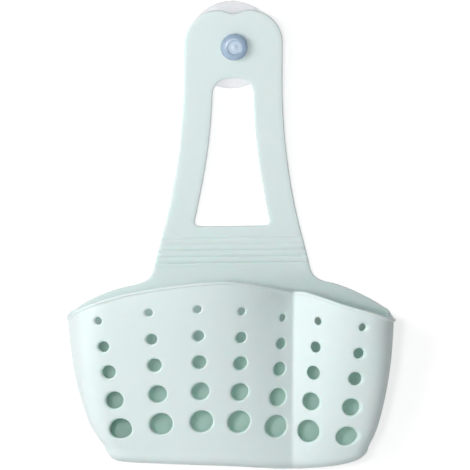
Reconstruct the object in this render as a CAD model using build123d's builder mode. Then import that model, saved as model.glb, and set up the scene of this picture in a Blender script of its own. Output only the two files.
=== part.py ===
from build123d import *
from math import cos, radians, sin
import os

os.makedirs("parts", exist_ok=True)

# Hanging sink caddy: a soft basket on a long strap, hung from a clear suction cup.
# The origin is the centre of the cup's sealing face. The wall is the plane y = 0,
# the front looks along -Y, and +Z is up.

# Sizes of the basket
basket_width = 170.0
basket_height = 104.2
rim_depth = 49.3
base_depth = 26.0
crease_place = 29.1
crease_depth = 26.4
crease_base_depth = 21.0
wall = 2.2
back_wall = 2.5
floor_thickness = 2.5
base_rounding = 7.0
wall_gap = 0.4

# The basket's form starts this far behind its back face, which is then cut flat
back_skim = 0.1

# Sizes of the rim and its bead
crest_drop = 2.2
left_tip_drop = 25.2
right_tip_drop = 27.5
bead_height = 1.6
bead_overhang = 1.2

# Sizes of the holes in the front wall, from the top row to the bottom row
top_row_drop = 16.9
bottom_row_drop = 76.5
hole_diameters = (4.1, 5.8, 7.2, 9.3, 11.8)

# Sizes of the drain holes in the floor
drain_diameter = 5.0
drain_pitch = 13.0
drain_count = 8

# Sizes of the strap and its window
strap_drop = 98.2
strap_rise = 18.9
strap_thickness = 2.5
strap_top_width = 50.6
strap_foot_width = 72.2
strap_corner = 17.5
strap_dip = 1.8
strap_straight = 14.0
window_top_drop = 16.3
window_foot_gap = 5.0
window_top_width = 21.2
window_foot_width = 38.2
window_arch = 9.7
window_corner = 3.0

# Sizes of the ribbed band and of the shoulders that flare out below it
band_height = 15.2
band_foot_width = 79.8
rib_proud = 0.6
groove_width = 1.3
groove_depth = 0.9
groove_margin = 1.1
groove_count = 5
shoulder_reach = 12.5
shoulder_drop = 10.1

# Sizes of the suction cup, its neck and its knob
cup_diameter = 45.4
cup_depth = 7.3
cup_face_width = 2.4
cup_edge = 0.9
cup_crown = 4.6
shoulder_diameter = 12.8
neck_diameter = 8.0
knob_diameter = 13.8
knob_thickness = 4.2
knob_rounding = 0.9
knob_ring_depth = 0.4
neck_hole_clearance = 0.4
strap_play = 0.7

# One overrun serves all cuts
overrun = 5.0

# Steps in the round of the basket's bottom edge
rounding_steps = 4

# Shares that shape the basket's plan, one for each level from the top to the floor
level_shares = (0.0, 0.27, 0.52, 0.77, 1.0)
left_width_shares = (1.014, 0.998, 0.966, 0.893, 0.776)
right_width_shares = (0.988, 0.972, 0.945, 0.889, 0.808)
end_lean_share = 0.10
shoulder_depth_share = 0.955
corner_share = 0.31
front_rise_share = 0.07
crease_inset_share = 1.2
back_rounding_share = 0.3

# Shares that shape the front wall's curve into the crease, from the left and from the right
left_handle_share = 0.55
left_valley_shares = (0.225, 0.90)
right_handle_share = 0.42
right_valley_shares = (0.33, 0.68)

# Shares that shape the front rim, as runs along it and falls from its crest: from the left tip
# to the crest, on to the crease, and from the crease to the right tip
left_rim_shares = ((0.0, 1.0), (0.075, 0.60), (0.17, 0.357), (0.30, 0.20), (0.475, 0.06), (0.655, 0.0))
middle_rim_shares = ((0.78, 0.07), (0.885, 0.185), (1.0, 0.345))
right_rim_shares = ((0.0725, 0.322), (0.24, 0.40), (0.42, 0.524), (0.62, 0.652), (0.82, 0.80), (1.0, 1.0))

# Shares that place the hole columns, from left to right
top_column_shares = (-0.859, -0.556, -0.262, 0.010, 0.271, 0.482, 0.745)
bottom_column_shares = (-0.711, -0.467, -0.222, 0.007, 0.238, 0.438, 0.670)
top_sag_shares = (0.053, 0.013, 0.0, 0.018, 0.068, 0.079, 0.104)
bottom_sag_shares = (0.035, 0.010, 0.0, 0.007, 0.039, 0.065, 0.090)
row_shares = (0.0, 0.237, 0.47, 0.73, 1.0)

# Shares that shape the shoulders, out over their run and down over their fall
knee_shares = ((0.09, 0.82), (0.55, 0.87))
tip_shares = ((0.35, 0.20), (0.72, 0.60))

# Shares that shape the strap's corners and sides, and its window
strap_corner_share = 0.55
strap_side_shares = ((0.0, 0.37), (0.40, 0.726))
window_arch_shares = (0.62, 0.28)
window_side_shares = ((0.05, 0.34), (0.50, 0.65))
window_corner_share = 0.2

# Shares that shape the suction cup's section, its inside and its knob
cup_outside_shares = ((0.55, 0.86), (0.62, 0.12))
cup_inside_shares = ((1.0, 0.42), (0.30, 0.78))
knob_side_share = 0.75
knob_face_shares = (0.80, 0.55)
knob_ring_shares = (0.48, 0.22, 0.15)

# Places that follow from the sizes
band_top = -strap_drop
wall_top = band_top - band_height
floor_level = wall_top - basket_height
half_width = basket_width / 2
front_of_back_wall = wall_gap + back_wall
strap_standoff = cup_depth + strap_play
strap_slope = (strap_standoff - wall_gap) / strap_drop
strap_cut = strap_standoff + strap_thickness + overrun * 2


def plan_point(x, depth):
    """A point of a plan sketch, with its depth measured forward from the back face."""
    return (x, -(wall_gap + depth))


def plan_outline(level, inset, back):
    """The basket's closed plan outline at one level, drawn in all round by an inset."""
    level_share = level_shares[level]
    left_half = half_width * left_width_shares[level] - inset
    right_half = half_width * right_width_shares[level] - inset
    depth = rim_depth + (base_depth - rim_depth) * level_share - inset
    valley = crease_depth + (crease_base_depth - crease_depth) * level_share - inset * crease_inset_share
    bulge = depth - valley
    lean = end_lean_share * (1 - level_share) * depth
    corner = corner_share * depth
    front = shoulder_depth_share * depth
    front_depth = front + front_rise_share * corner
    end_lean = lean * (front - corner) / front
    left_front = left_half - lean - corner
    right_front = right_half - lean - corner
    left_run = crease_place + left_front
    right_run = right_front - crease_place
    left_handle = left_handle_share * left_run
    right_handle = right_handle_share * right_run
    Polyline(
        plan_point(right_half - end_lean, front - corner),
        plan_point(right_half, back),
        plan_point(-left_half, back),
        plan_point(-left_half + end_lean, front - corner),
    )
    Bezier(
        plan_point(-left_half + end_lean, front - corner),
        plan_point(-left_half + lean, front),
        plan_point(-left_front, front_depth),
    )
    Bezier(
        plan_point(-left_front, front_depth),
        plan_point(-left_front + left_handle, front_depth + front_rise_share * left_handle),
        plan_point(crease_place - left_valley_shares[0] * left_run,
                   valley + left_valley_shares[1] * bulge),
        plan_point(crease_place, valley),
    )
    Bezier(
        plan_point(crease_place, valley),
        plan_point(crease_place + right_valley_shares[0] * right_run,
                   valley + right_valley_shares[1] * bulge),
        plan_point(right_front - right_handle, front_depth + front_rise_share * right_handle),
        plan_point(right_front, front_depth),
    )
    Bezier(
        plan_point(right_front, front_depth),
        plan_point(right_half - lean, front),
        plan_point(right_half - end_lean, front - corner),
    )


def basket_form(inset, back, rounding):
    """A solid with the basket's outer form, drawn in by an inset, with a rounded bottom edge."""
    rounding_level = floor_level + base_rounding
    side_height = wall_top - rounding_level
    with BuildPart() as form:
        for level, level_share in enumerate(level_shares):
            with BuildSketch(Plane.XY.offset(wall_top - side_height * level_share)):
                with BuildLine():
                    plan_outline(level, inset, back)
                make_face()
        loft()
    with BuildPart() as foot:
        for step in range(rounding_steps + 1):
            turn = radians(90 * step / rounding_steps)
            drawn_in = rounding * (1 - cos(turn))
            with BuildSketch(Plane.XY.offset(rounding_level - rounding * sin(turn))):
                with BuildLine():
                    plan_outline(-1, inset + drawn_in, back + drawn_in * back_rounding_share)
                make_face()
        loft(ruled=True)
    return form.part + foot.part


def rim_edge(lowering):
    """The front rim as seen from the front, with both lobes, lowered by an amount."""
    crest = wall_top - crest_drop - lowering
    left_fall = left_tip_drop - crest_drop
    right_fall = right_tip_drop - crest_drop
    left_run = crease_place + half_width
    right_run = half_width - crease_place
    left_points = [(left_run * run - half_width, crest - left_fall * fall)
                   for run, fall in left_rim_shares]
    middle_points = [(left_run * run - half_width, crest - right_fall * fall)
                     for run, fall in middle_rim_shares]
    right_points = [(right_run * run + crease_place, crest - right_fall * fall)
                    for run, fall in right_rim_shares]
    Spline(*left_points, *middle_points)
    Spline(middle_points[-1], *right_points)
    return left_points[0], right_points[-1]


def above_rim(lowering):
    """A solid that fills the space above the front rim, in front of the back wall."""
    with BuildPart() as space:
        with BuildSketch(Plane.XZ.offset(front_of_back_wall)):
            with BuildLine():
                left_tip, right_tip = rim_edge(lowering)
                Polyline(
                    left_tip,
                    (left_tip[0] - overrun, left_tip[1]),
                    (left_tip[0] - overrun, wall_top + overrun),
                    (right_tip[0] + overrun, wall_top + overrun),
                    (right_tip[0] + overrun, right_tip[1]),
                    right_tip,
                )
            make_face()
        extrude(amount=rim_depth + overrun)
    return space.part


def shoulder_edge(side, tip_drop):
    """One flared upper edge of the back wall, from the band's foot out to the rim's tip."""
    foot = band_foot_width / 2
    knee = foot + shoulder_reach
    knee_level = wall_top - shoulder_drop
    tip_run = half_width - knee
    tip_fall = tip_drop - shoulder_drop
    Bezier(
        (side * foot, wall_top),
        *[(side * (foot + run * shoulder_reach), wall_top - fall * shoulder_drop)
          for run, fall in knee_shares],
        (side * knee, knee_level),
    )
    Bezier(
        (side * knee, knee_level),
        *[(side * (knee + run * tip_run), knee_level - fall * tip_fall) for run, fall in tip_shares],
        (side * half_width, wall_top - tip_drop),
    )


# Whole forms from which the basket's walls are taken
outer_form = basket_form(0, -back_skim, base_rounding)
inner_form = basket_form(wall, back_wall, base_rounding - floor_thickness)
bead_form = basket_form(-bead_overhang, back_wall, base_rounding)

# Flat back wall with its flared shoulders
with BuildPart() as basket_back_wall:
    add(outer_form)
    split(bisect_by=Plane.XZ.offset(front_of_back_wall), keep=Keep.BOTTOM)
    with BuildSketch(Plane.XZ.offset(wall_gap)):
        with BuildLine():
            shoulder_edge(-1, left_tip_drop)
            shoulder_edge(1, right_tip_drop)
            Line((-band_foot_width / 2, wall_top), (band_foot_width / 2, wall_top))
            Polyline(
                (-half_width, wall_top - left_tip_drop),
                (-half_width, floor_level - overrun),
                (half_width, floor_level - overrun),
                (half_width, wall_top - right_tip_drop),
            )
        make_face()
    extrude(amount=back_wall + overrun, mode=Mode.INTERSECT)

# Floor with a row of drain holes in its flat part
with BuildPart() as basket_floor:
    add(outer_form)
    split(bisect_by=Plane.XZ.offset(front_of_back_wall), keep=Keep.TOP)
    split(bisect_by=Plane.XY.offset(floor_level + floor_thickness), keep=Keep.BOTTOM)
    drain_centre = plan_point(0, (back_wall + crease_base_depth - base_rounding) / 2)
    with BuildSketch(Plane.XY.offset(floor_level - overrun)):
        with Locations(drain_centre):
            with GridLocations(drain_pitch, 0, drain_count, 1):
                Circle(drain_diameter / 2)
    extrude(amount=floor_thickness + overrun * 2, mode=Mode.SUBTRACT)

# Bead that runs along the front rim
with BuildPart() as rim_bead:
    add(bead_form)
    add(inner_form, mode=Mode.SUBTRACT)
    add(above_rim(0), mode=Mode.SUBTRACT)
    add(above_rim(bead_height), mode=Mode.INTERSECT)

# Curved front and end wall with its bead, crease and holes
with BuildPart() as basket_front_wall:
    add(outer_form)
    split(bisect_by=Plane.XZ.offset(front_of_back_wall), keep=Keep.TOP)
    split(bisect_by=Plane.XY.offset(floor_level + floor_thickness), keep=Keep.TOP)
    add(inner_form, mode=Mode.SUBTRACT)
    add(above_rim(0), mode=Mode.SUBTRACT)
    add(rim_bead.part)
    for column in range(len(top_column_shares)):
        top_x = top_column_shares[column] * half_width
        bottom_x = bottom_column_shares[column] * half_width
        top_z = wall_top - top_row_drop - top_sag_shares[column] * basket_height
        bottom_z = wall_top - bottom_row_drop - bottom_sag_shares[column] * basket_height
        for row_share, diameter in zip(row_shares, hole_diameters):
            x = top_x + (bottom_x - top_x) * row_share
            z = top_z + (bottom_z - top_z) * row_share
            sight_line = Axis((x, -(rim_depth + overrun * 2), z), (0, 1, 0))
            centre, normal = outer_form.find_intersection_points(sight_line)[0]
            with Locations(Plane(origin=centre, z_dir=normal)):
                Cylinder(diameter / 2, overrun * 2, mode=Mode.SUBTRACT)

# Ribbed band that lets the basket fold against the strap
with BuildPart() as flex_band:
    with BuildSketch(Plane.XZ.offset(wall_gap)):
        with BuildLine():
            Polyline(
                (-strap_foot_width / 2, band_top),
                (strap_foot_width / 2, band_top),
                (band_foot_width / 2, wall_top),
                (-band_foot_width / 2, wall_top),
                close=True,
            )
        make_face()
    extrude(amount=back_wall + rib_proud)
    groove_pitch = (band_height - groove_margin * 2) / (groove_count - 1)
    with BuildSketch(Plane.XZ.offset(wall_gap + back_wall + rib_proud - groove_depth)):
        with Locations((0, band_top - band_height / 2)):
            with GridLocations(basket_width, groove_pitch, 1, groove_count):
                Rectangle(basket_width, groove_width)
    extrude(amount=groove_depth + overrun, mode=Mode.SUBTRACT)

# Flat strap with its window and the hole for the cup's neck
with BuildPart() as strap_handle:
    half_top = strap_top_width / 2
    half_foot = strap_foot_width / 2
    top_flat = half_top - strap_corner
    flare = half_foot - half_top
    flare_run = strap_drop - strap_straight
    with BuildSketch(Plane.XZ):
        with BuildLine():
            for side in (-1, 1):
                Bezier(
                    (0, strap_rise - strap_dip),
                    (side * top_flat / 2, strap_rise - strap_dip),
                    (side * top_flat / 2, strap_rise),
                    (side * top_flat, strap_rise),
                )
                Bezier(
                    (side * top_flat, strap_rise),
                    (side * (top_flat + strap_corner_share * strap_corner), strap_rise),
                    (side * half_top, strap_rise - (1 - strap_corner_share) * strap_corner),
                    (side * half_top, strap_rise - strap_corner),
                )
                Line((side * half_top, strap_rise - strap_corner), (side * half_top, -strap_straight))
                Bezier(
                    (side * half_top, -strap_straight),
                    *[(side * (half_top + out * flare), -strap_straight - down * flare_run)
                      for out, down in strap_side_shares],
                    (side * half_foot, band_top),
                )
            Line((-half_foot, band_top), (half_foot, band_top))
        make_face()
    extrude(amount=strap_cut)
    with BuildSketch(Plane.XZ):
        window_top = -window_top_drop
        window_foot = band_top + window_foot_gap
        arch_foot = window_top - window_arch
        arch_half = window_top_width / 2
        foot_half = window_foot_width / 2
        side_run = arch_foot - window_foot
        with BuildLine():
            for side in (-1, 1):
                Bezier(
                    (0, window_top),
                    (side * window_arch_shares[0] * arch_half, window_top),
                    (side * arch_half, window_top - window_arch_shares[1] * window_arch),
                    (side * arch_half, arch_foot),
                )
                Bezier(
                    (side * arch_half, arch_foot),
                    *[(side * (arch_half + out * (foot_half - arch_half)), arch_foot - down * side_run)
                      for out, down in window_side_shares],
                    (side * foot_half, window_foot + window_corner),
                )
                Bezier(
                    (side * foot_half, window_foot + window_corner),
                    (side * (foot_half + window_corner_share * window_corner), window_foot),
                    (side * (foot_half - window_corner), window_foot),
                )
            Line((-foot_half + window_corner, window_foot), (foot_half - window_corner, window_foot))
        make_face()
        Circle(neck_diameter / 2 + neck_hole_clearance)
    extrude(amount=strap_cut, mode=Mode.SUBTRACT)
    with BuildSketch(Plane.YZ):
        with BuildLine():
            top_back = -(strap_standoff + strap_slope * (strap_rise + overrun))
            Polyline(
                (top_back, strap_rise + overrun),
                (top_back - strap_thickness, strap_rise + overrun),
                (-wall_gap - strap_thickness, band_top),
                (-wall_gap, band_top),
                close=True,
            )
        make_face()
    extrude(amount=basket_width, both=True, mode=Mode.INTERSECT)

# Suction cup with its neck and mushroom knob, in one turned form
with BuildPart() as suction_cup:
    cup_radius = cup_diameter / 2
    shoulder_radius = shoulder_diameter / 2
    neck_radius = neck_diameter / 2
    knob_radius = knob_diameter / 2
    cavity_radius = cup_radius - cup_face_width
    knob_back = strap_standoff + strap_thickness + strap_play
    knob_front = knob_back + knob_thickness
    with BuildSketch(Plane.YZ):
        with BuildLine():
            Polyline((0, cavity_radius), (0, cup_radius), (-cup_edge, cup_radius))
            Bezier(
                (-cup_edge, cup_radius),
                (-cup_outside_shares[0][0] * cup_depth, cup_outside_shares[0][1] * cup_radius),
                (-cup_outside_shares[1][0] * cup_depth,
                 shoulder_radius + cup_outside_shares[1][1] * cup_radius),
                (-cup_depth + cup_edge, shoulder_radius),
            )
            Polyline(
                (-cup_depth + cup_edge, shoulder_radius),
                (-cup_depth, shoulder_radius),
                (-cup_depth, neck_radius),
                (-knob_back, neck_radius),
                (-knob_back, knob_radius - knob_rounding),
            )
            Bezier(
                (-knob_back, knob_radius - knob_rounding),
                (-knob_back, knob_radius),
                (-knob_back - knob_rounding, knob_radius),
            )
            Bezier(
                (-knob_back - knob_rounding, knob_radius),
                (-knob_back - knob_side_share * knob_thickness, knob_radius),
                (-knob_front, knob_face_shares[0] * knob_radius),
                (-knob_front, knob_face_shares[1] * knob_radius),
            )
            Polyline(
                (-knob_front, knob_face_shares[1] * knob_radius),
                (-knob_front + knob_ring_depth, knob_ring_shares[0] * knob_radius),
                (-knob_front + knob_ring_depth, knob_ring_shares[1] * knob_radius),
                (-knob_front, knob_ring_shares[2] * knob_radius),
                (-knob_front, 0),
                (-cup_crown, 0),
            )
            Bezier(
                (-cup_crown, 0),
                (-cup_inside_shares[0][0] * cup_crown, cup_inside_shares[0][1] * cup_radius),
                (-cup_inside_shares[1][0] * cup_depth, cup_inside_shares[1][1] * cup_radius),
                (0, cavity_radius),
            )
        make_face()
    revolve(axis=Axis.Y)

pieces = {
    "suction_cup": suction_cup.part,
    "strap_handle": strap_handle.part,
    "flex_band": flex_band.part,
    "basket_back_wall": basket_back_wall.part,
    "basket_front_wall": basket_front_wall.part,
    "basket_floor": basket_floor.part,
}
for name, piece in pieces.items():
    piece.label = name
    export_step(piece, f"parts/{name}.step")
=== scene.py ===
import bisect
import math
import bmesh
import bpy
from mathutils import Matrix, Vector
from mathutils.geometry import delaunay_2d_cdt


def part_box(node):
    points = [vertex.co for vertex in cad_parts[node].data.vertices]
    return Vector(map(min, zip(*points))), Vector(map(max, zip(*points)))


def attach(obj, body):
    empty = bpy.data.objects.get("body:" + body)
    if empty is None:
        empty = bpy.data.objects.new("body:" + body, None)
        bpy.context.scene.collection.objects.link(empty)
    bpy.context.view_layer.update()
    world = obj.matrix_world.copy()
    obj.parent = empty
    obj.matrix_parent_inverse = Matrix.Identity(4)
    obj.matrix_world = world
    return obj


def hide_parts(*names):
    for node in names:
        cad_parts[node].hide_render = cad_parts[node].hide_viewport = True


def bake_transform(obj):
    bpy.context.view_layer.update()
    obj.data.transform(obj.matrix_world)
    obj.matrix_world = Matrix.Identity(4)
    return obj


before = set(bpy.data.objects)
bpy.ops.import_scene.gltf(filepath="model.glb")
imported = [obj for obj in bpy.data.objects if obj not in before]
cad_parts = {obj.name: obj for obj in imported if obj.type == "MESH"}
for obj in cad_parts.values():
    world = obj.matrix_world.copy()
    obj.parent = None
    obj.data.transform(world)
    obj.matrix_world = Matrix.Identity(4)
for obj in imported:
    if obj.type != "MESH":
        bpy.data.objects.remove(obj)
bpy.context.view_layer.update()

# Soft hanging caddy on a clear suction cup. Lengths here are millimetres, and MM turns
# them into the frame's metres. The wall is the plane y = 0 and the front looks along -Y.
MM = 0.001

# Heights taken from the frame
WALL_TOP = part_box("basket_back_wall")[1].z / MM
FLOOR_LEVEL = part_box("basket_floor")[0].z / MM
BAND_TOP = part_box("flex_band")[1].z / MM
STRAP_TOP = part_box("strap_handle")[1].z / MM
WALL_GAP = -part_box("basket_back_wall")[1].y / MM

# Sizes of the basket
HALF_WIDTH = 85.0
RIM_DEPTH = 49.3
BASE_DEPTH = 26.0
CREASE_PLACE = 29.1
CREASE_DEPTH = 26.4
CREASE_BASE_DEPTH = 21.0
WALL = 2.2
BACK_WALL = 2.5
FLOOR_THICKNESS = 2.5
BASE_ROUNDING = 7.0
BACK_CORNER = 3.4
CREASE_ROUNDING = 1.0

# Shares that shape the basket's plan from the top to the floor
LEVEL_SHARES = (0.0, 0.27, 0.52, 0.77, 1.0)
LEFT_WIDTH_SHARES = (1.014, 0.998, 0.966, 0.893, 0.776)
RIGHT_WIDTH_SHARES = (0.988, 0.972, 0.945, 0.889, 0.808)
END_LEAN_SHARE = 0.10
SHOULDER_DEPTH_SHARE = 0.955
CORNER_SHARE = 0.31
FRONT_RISE_SHARE = 0.07
CREASE_INSET_SHARE = 1.2
BACK_ROUNDING_SHARE = 0.3
LEFT_HANDLE_SHARE = 0.55
LEFT_VALLEY_SHARES = (0.225, 0.90)
RIGHT_HANDLE_SHARE = 0.42
RIGHT_VALLEY_SHARES = (0.33, 0.68)

# Sizes of the rim
CREST_DROP = 2.2
LEFT_TIP_DROP = 25.2
RIGHT_TIP_DROP = 27.5
BEAD_HEIGHT = 1.8
BEAD_OVERHANG = 1.1
BEAD_SUPPORT = 0.3

# Shares that shape the rim, as runs along it and falls from its crest
LEFT_RIM_SHARES = ((-0.011, 1.0), (0.0, 0.85), (0.0114, 0.74), (0.062, 0.535), (0.128, 0.395),
                   (0.2525, 0.225), (0.475, 0.06), (0.655, 0.0))
MIDDLE_RIM_SHARES = ((0.78, 0.07), (0.885, 0.185), (1.0, 0.345))
RIGHT_RIM_SHARES = ((0.0725, 0.322), (0.24, 0.40), (0.42, 0.524), (0.62, 0.652), (0.82, 0.80),
                    (1.0, 1.0))

# The rim's slope where it starts up an end wall, as a share of the wall's whole slope
END_RIM_SHARE = 0.4

# The bead's section where it is full, as (share of the reach, share of its own measure), first
# past the wall's outside by shares of the overhang, then through the wall's thickness
BEAD_OUTSIDE_SHARES = ((0.10, 0.55), (0.42, 1.0), (0.86, 0.72))
BEAD_THROUGH_SHARES = ((1.0, 0.1), (0.93, 0.72), (0.55, 0.96))
BEAD_START = 0.5
BEAD_RUN = 6.0

# How far the soft bottom edge stands above the floor's level, as (place across, lift), and the
# height over which the walls above it give way
BOTTOM_LIFTS = ((-60.0, 5.6), (-51.0, 5.2), (-27.5, 4.0), (-2.0, 2.6), (15.0, 1.0), (28.0, 0.0),
                (43.0, 1.1), (51.0, 2.0), (59.0, 3.4), (66.0, 4.8))
LIFT_HEIGHT = 24.0

# Holes of the front wall and the floor
TOP_ROW_DROP = 16.9
BOTTOM_ROW_DROP = 76.5
HOLE_DIAMETERS = (4.1, 5.8, 7.2, 9.3, 11.8)
TOP_COLUMN_SHARES = (-0.859, -0.556, -0.262, 0.010, 0.271, 0.482, 0.745)
BOTTOM_COLUMN_SHARES = (-0.711, -0.467, -0.222, 0.007, 0.238, 0.438, 0.670)
TOP_SAG_SHARES = (0.053, 0.013, 0.0, 0.018, 0.068, 0.079, 0.104)
BOTTOM_SAG_SHARES = (0.035, 0.010, 0.0, 0.007, 0.039, 0.065, 0.090)
ROW_SHARES = (0.0, 0.237, 0.47, 0.73, 1.0)
DRAIN_DIAMETER = 5.0
DRAIN_PITCH = 13.0
DRAIN_COUNT = 8

# Sizes of the strap, its window and the shoulders below the band, all as thick as the back plate
STRAP_TOP_WIDTH = 50.6
STRAP_FOOT_WIDTH = 72.2
STRAP_CORNER = 17.5
STRAP_DIP = 1.8
STRAP_STRAIGHT = 14.0
STRAP_STANDOFF = 8.0
STRAP_EASE = 5.0
WINDOW_TOP_DROP = 16.3
WINDOW_FOOT_GAP = 5.0
WINDOW_TOP_WIDTH = 21.2
WINDOW_FOOT_WIDTH = 38.2
WINDOW_ARCH = 9.7
WINDOW_CORNER = 3.0
NECK_HOLE_RADIUS = 4.4
BAND_FOOT_WIDTH = 79.8
SHOULDER_REACH = 12.5
SHOULDER_DROP = 10.1
KNEE_SHARES = ((0.09, 0.82), (0.55, 0.87))
LEFT_TIP_SHARES = ((0.35, 0.14), (0.72, 0.47))
RIGHT_TIP_SHARES = ((0.35, 0.20), (0.72, 0.60))
STRAP_CORNER_SHARE = 0.55
STRAP_SIDE_SHARES = ((0.0, 0.37), (0.40, 0.726))
WINDOW_ARCH_SHARES = (0.62, 0.28)
WINDOW_SIDE_SHARES = ((0.05, 0.34), (0.50, 0.65))
WINDOW_CORNER_SHARE = 0.2

# Ribbed band
RIB_PROUD = 0.2
GROOVE_FIRST_DROP = 1.1
GROOVE_PITCH = 3.25
GROOVE_COUNT = 5
GROOVE_WIDTH = 1.0
GROOVE_DEPTH = 0.6
GROOVE_SHARPNESS = 0.8
FAINT_GROOVE = 1
FAINT_SHARE = 0.35
BAND_EASE = 0.8

# Roundness of every edge of the soft moulding, and the most of the thickness that it takes
EDGE = 0.8
HOLE_EDGE = 1.0
DRAIN_EDGE = 0.6
MOST_EDGE_SHARE = 0.49

# Mesh spacing
STEP = 2.4
CORNER_STEP = 0.9
CREASE_STEP = 0.5
CREASE_MARGIN = 1.2
FLOOR_STEP = 2.2
FOOT_STEPS = 7
RIM_ROWS_DROP = 4
RIM_ROWS_STEP = 1.5
BAND_MARGIN = 0.6
SEAM_GAP = 0.5
SHOULDER_GAP = 0.6
COLLAR = 1.1
HOLE_SIDES_PER_MM = 3.2
COLLAR_SIDES_PER_MM = 2
LEAST_HOLE_SIDES = 20
LEAST_COLLAR_SIDES = 14
NECK_SIDES = 40
DRAIN_SIDES = 22
STRAP_STEPS = (6, 16, 9, 40)
WINDOW_STEPS = (12, 32, 7, 9)
SHOULDER_STEPS = 9
FINE_SHOULDER_STEPS = 40
GROOVE_STEPS = 4
BAND_END_GAP = 0.1
POINT_KEYS_PER_MM = 2e3
POINT_KEY_DIGITS = 4

# Rounds of the searches for a place or a height on the curved wall
LIFT_ROUNDS = 8
HALVINGS = 40
RING_ROUNDS = 6
RIM_ROUNDS = 30
RIM_ROUND_SHARE = 0.7
SHOULDER_ROUNDS = 12

# How far the mesh's inside points stay from edges and holes, so that no triangle is a sliver
FRONT_EDGE_GAP = 0.9
FRONT_HOLE_GAP = 1.7
COLLAR_EDGE_GAP = 0.6
COLLAR_HOLE_GAP = 0.8
BAND_GAP = 0.6
BACK_GAP = 1.1
DRAIN_GAP = 1.2
FLOOR_GAP = 1.0

# How far below the wall's top the painted inside shade starts, the height over which it comes in, and
# the share of it that the edges of holes and the rim bead take
SHADE_DROP = 4
SHADE_RUN = 50
HOLE_SHADE = 0.5
BEAD_SHADE = 0.1

ROUNDING_LEVEL = FLOOR_LEVEL + BASE_ROUNDING
SIDE_HEIGHT = WALL_TOP - ROUNDING_LEVEL
OUTER, INNER = 0, 1


def mix(a, b, share):
    """The value a share of the way from a to b."""
    return a + (b - a) * share


def smooth(share):
    """A share from 0 to 1, eased at both ends."""
    share = min(1.0, max(0.0, share))
    return share * share * (3 - 2 * share)


def bezier(points, share):
    """A point of a Bezier curve of any order."""
    points = list(points)
    while len(points) > 1:
        points = [
            tuple(mix(a, b, share) for a, b in zip(first, second))
            for first, second in zip(points, points[1:])
        ]
    return points[0]


def curve_points(points, count):
    """Points along a Bezier curve, without its end."""
    return [bezier(points, i / count) for i in range(count)]


def through(places, values, place):
    """A smooth curve through a few values, by the polynomial that meets them all."""
    total = 0.0
    for i, value in enumerate(values):
        term = value
        for j, other in enumerate(places):
            if j != i:
                term *= (place - other) / (places[i] - other)
        total += term
    return total


def spline_height(points, x):
    """The height at x of a smooth curve through points that run from left to right."""
    slopes = [(b[1] - a[1]) / (b[0] - a[0]) for a, b in zip(points, points[1:])]
    x = min(points[-1][0], max(points[0][0], x))
    k = min(len(points) - 2, max(0, bisect.bisect_right([p[0] for p in points], x) - 1))
    run = points[k + 1][0] - points[k][0]

    def tangent(i):
        if i == 0:
            return 1.5 * slopes[0] - 0.5 * slopes[1]
        if i == len(points) - 1:
            return 1.5 * slopes[-1] - 0.5 * slopes[-2]
        first, second = slopes[i - 1], slopes[i]
        return 2 * first * second / (first + second) if first * second > 0 else 0.0

    s = (x - points[k][0]) / run
    rise_start = (1 + 2 * s) * (1 - s) ** 2 * points[k][1] + s * (1 - s) ** 2 * run * tangent(k)
    rise_end = s * s * (3 - 2 * s) * points[k + 1][1] - s * s * (1 - s) * run * tangent(k + 1)
    return rise_start + rise_end


def rim_points():
    """The rim's points to the left and to the right of the crease, from left to right."""
    crest = WALL_TOP - CREST_DROP
    left_fall = LEFT_TIP_DROP - CREST_DROP
    right_fall = RIGHT_TIP_DROP - CREST_DROP
    left_run = CREASE_PLACE + HALF_WIDTH
    right_run = HALF_WIDTH - CREASE_PLACE

    def placed(start, run, fall, shares):
        return [(run * along + start, crest - fall * down) for along, down in shares]

    left = placed(-HALF_WIDTH, left_run, left_fall, LEFT_RIM_SHARES)
    left += placed(-HALF_WIDTH, left_run, right_fall, MIDDLE_RIM_SHARES)
    return left, left[-1:] + placed(CREASE_PLACE, right_run, right_fall, RIGHT_RIM_SHARES)


LEFT_RIM, RIGHT_RIM = rim_points()


def rim_height(x):
    """Height of the front rim at x, with the dip at the crease."""
    return spline_height(LEFT_RIM if x < CREASE_PLACE else RIGHT_RIM, x)


def bottom_lift(x, height):
    """How far a point moves up with the soft bottom edge, which rises towards both ends."""
    share = smooth((FLOOR_LEVEL + LIFT_HEIGHT - height) / (LIFT_HEIGHT - FLOOR_THICKNESS))
    return spline_height(BOTTOM_LIFTS, x) * share


# The plan outline runs in nine stretches from the left back corner to the right one. Places
# along it count stretches, and runs are millimetres.
STRETCHES = 9
FRONT_STRETCH = 2
CREASE_STRETCH = 4
STRETCH_SAMPLES = 60
FLAT_LEVEL_SHARE = 0.3
SMALL_SHARE = 1e-9


def half_width(side, level):
    """The basket's reach to the left (side -1) or to the right (side 1) at one level."""
    width_shares = LEFT_WIDTH_SHARES if side < 0 else RIGHT_WIDTH_SHARES
    return HALF_WIDTH * through(LEVEL_SHARES, width_shares, level)


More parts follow.
